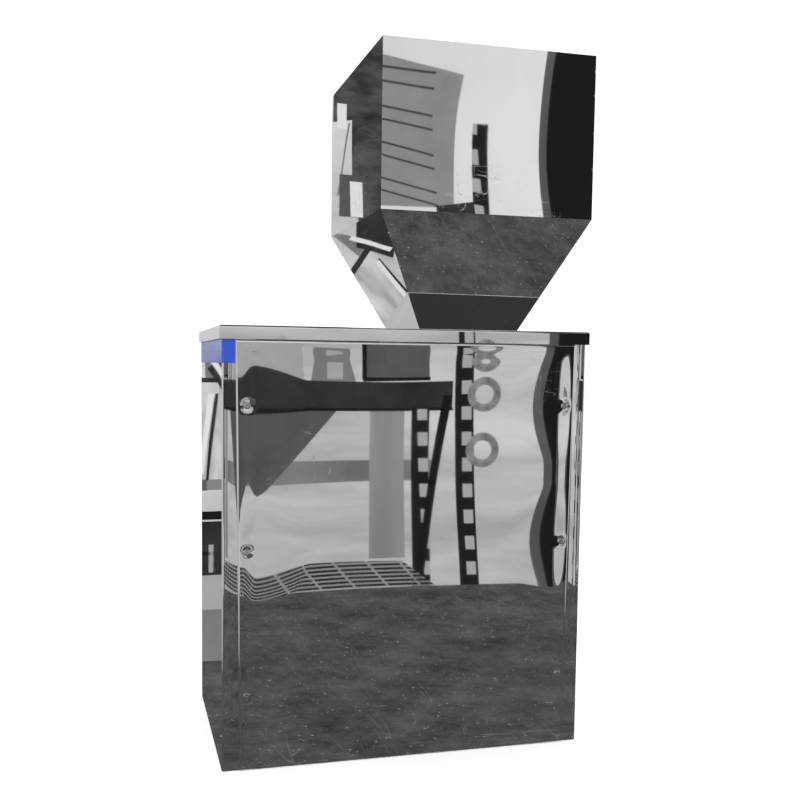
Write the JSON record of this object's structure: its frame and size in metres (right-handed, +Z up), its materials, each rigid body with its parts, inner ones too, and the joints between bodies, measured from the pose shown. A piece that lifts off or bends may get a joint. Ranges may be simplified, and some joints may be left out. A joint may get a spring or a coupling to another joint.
{
  "type": "vertical form fill sealer",
  "caption": "Bench-top bagging machine: polished cabinet with a screwed rear cover, square funnel hopper, film former, sealing jaws and a guard door.",
  "frame": {"origin": "centre of the cabinet's underside", "axes": "+Z up, the screwed service cover faces -Y, the working front with door and controls faces +Y, the hopper is offset to +X"},
  "size_m": [0.4664, 0.3146, 0.873],
  "materials": {
    "mirror_steel": "mirror polished",
    "steel": "satin",
    "aluminium": "milled",
    "zinc": "bright zinc",
    "brass": "machined",
    "black_plastic": "fine texture",
    "clear_door": "clear",
    "rubber": "smooth",
    "red_plastic": "gloss",
    "green_plastic": "gloss",
    "blue_film": "thin film",
    "board_green": "lacquered",
    "dark_motor": "powder coat"
  },
  "bodies": {
    "cabinet": {"base_tray": "steel", "left_side": "mirror_steel", "right_side": "mirror_steel", "top_cover": "mirror_steel", "rear_cover": "mirror_steel", "rear_cover_screws": "zinc", "rear_cover_nuts": "zinc", "divider_wall": "steel", "mounting_plate": "aluminium", "control_front": "mirror_steel", "protective_film": "blue_film", "hopper": "mirror_steel", "hopper_collar": "steel", "gate_guide": "steel", "feeder_magnet": "dark_motor", "feeder_springs": "steel", "load_cell": "aluminium", "weigh_bucket": "steel", "flap_pin": "zinc", "forming_tube": "steel", "forming_collar": "steel", "collar_bracket": "steel", "film_brackets": "steel", "pull_motor": "dark_motor", "sealer_guide": "aluminium", "jaw_rods": "zinc", "rod_end_bar": "aluminium", "jaw_motor": "dark_motor", "bag_chute": "steel", "door_hinges": "steel", "control_display": "black_plastic", "power_inlet": "black_plastic", "power_supply": "dark_motor", "control_board": "board_green"},
    "gate": {"slide_gate": "steel"},
    "feeder": {"vibrating_tray": "steel"},
    "flap": {"bucket_flap": "steel"},
    "mandrel": {"mandrel_shaft": "zinc", "mandrel_cones": "aluminium"},
    "rear_roller": {"rear_guide_roller": "aluminium"},
    "front_roller": {"front_guide_roller": "aluminium"},
    "left_pull": {"left_pull_gear": "zinc", "left_pull_wheel": "rubber"},
    "right_pull": {"right_pull_gear": "zinc", "right_pull_wheel": "rubber"},
    "sealer": {"vertical_sealer": "brass", "sealer_arm": "steel"},
    "drive_pinion": {"jaw_pinion": "zinc"},
    "back_jaw": {"rear_jaw": "aluminium", "rear_rack": "zinc"},
    "near_jaw": {"front_jaw": "aluminium", "front_rack": "zinc"},
    "cutter": {"cutter_blade": "steel"},
    "door": {"front_door": "clear_door", "door_handle": "steel", "door_knuckles": "steel"},
    "start": {"start_button": "green_plastic"},
    "stop": {"stop_button": "red_plastic"},
    "emergency": {"emergency_stop": "red_plastic"},
    "switch": {"main_switch": "black_plastic"}
  },
  "joints": [
    {"name": "gate_slide", "type": "slide", "parent": "cabinet", "child": "gate", "axis": [0, 1, 0], "range_m": [0, 0.06]},
    {"name": "feeder_shake", "type": "slide", "parent": "cabinet", "child": "feeder", "axis": [0, 1, 0], "range_m": [-0.001, 0.001], "stiffness_N_per_m": 20000},
    {"name": "flap_swing", "type": "hinge", "parent": "cabinet", "child": "flap", "pos_m": [0.0955, 0.0455, 0.402], "axis": [-1, 0, 0], "range_deg": [0, 50]},
    {"name": "mandrel_spin", "type": "hinge", "parent": "cabinet", "child": "mandrel", "pos_m": [0.0955, -0.07, 0.11], "axis": [1, 0, 0], "continuous": true},
    {"name": "rear_roller_spin", "type": "hinge", "parent": "cabinet", "child": "rear_roller", "pos_m": [0.0955, 0.005, 0.345], "axis": [1, 0, 0], "continuous": true},
    {"name": "front_roller_spin", "type": "hinge", "parent": "cabinet", "child": "front_roller", "pos_m": [0.0955, 0.037, 0.345], "axis": [1, 0, 0], "continuous": true},
    {"name": "left_pull_spin", "type": "hinge", "parent": "cabinet", "child": "left_pull", "pos_m": [0.0527, 0.01, 0.23], "axis": [0, 1, 0], "continuous": true},
    {"name": "right_pull_spin", "type": "hinge", "parent": "cabinet", "child": "right_pull", "pos_m": [0.1383, 0.01, 0.23], "axis": [0, 1, 0], "continuous": true},
    {"name": "sealer_press", "type": "slide", "parent": "cabinet", "child": "sealer", "axis": [0, -1, 0], "range_m": [0, 0.0033]},
    {"name": "jaw_drive", "type": "hinge", "parent": "cabinet", "child": "drive_pinion", "pos_m": [0.014, 0.08, 0.13], "axis": [-1, 0, 0], "range_deg": [0, 78.5]},
    {"name": "rear_jaw_slide", "type": "slide", "parent": "cabinet", "child": "back_jaw", "axis": [0, 1, 0], "range_m": [0, 0.0137]},
    {"name": "front_jaw_slide", "type": "slide", "parent": "cabinet", "child": "near_jaw", "axis": [0, -1, 0], "range_m": [0, 0.0137]},
    {"name": "cutter_stroke", "type": "slide", "parent": "near_jaw", "child": "cutter", "axis": [0, -1, 0], "range_m": [0, 0.007]},
    {"name": "door_swing", "type": "hinge", "parent": "cabinet", "child": "door", "pos_m": [0.203, 0.147, 0.315], "axis": [0, 0, -1], "range_deg": [0, 110]},
    {"name": "start_press", "type": "slide", "parent": "cabinet", "child": "start", "axis": [0, -1, 0], "range_m": [0, 0.003], "stiffness_N_per_m": 600},
    {"name": "stop_press", "type": "slide", "parent": "cabinet", "child": "stop", "axis": [0, -1, 0], "range_m": [0, 0.003], "stiffness_N_per_m": 600},
    {"name": "emergency_press", "type": "slide", "parent": "cabinet", "child": "emergency", "axis": [0, -1, 0], "range_m": [0, 0.005], "stiffness_N_per_m": 1500},
    {"name": "switch_turn", "type": "hinge", "parent": "cabinet", "child": "switch", "pos_m": [-0.128, 0.15, 0.19], "axis": [0, 1, 0], "range_deg": [0, 90]}
  ],
  "couplings": [
    {"joint": "right_pull_spin", "follows": "left_pull_spin", "ratio": -1},
    {"joint": "front_jaw_slide", "follows": "rear_jaw_slide", "ratio": 1},
    {"joint": "jaw_drive", "follows": "rear_jaw_slide", "rad_per_m": 100}
  ]
}
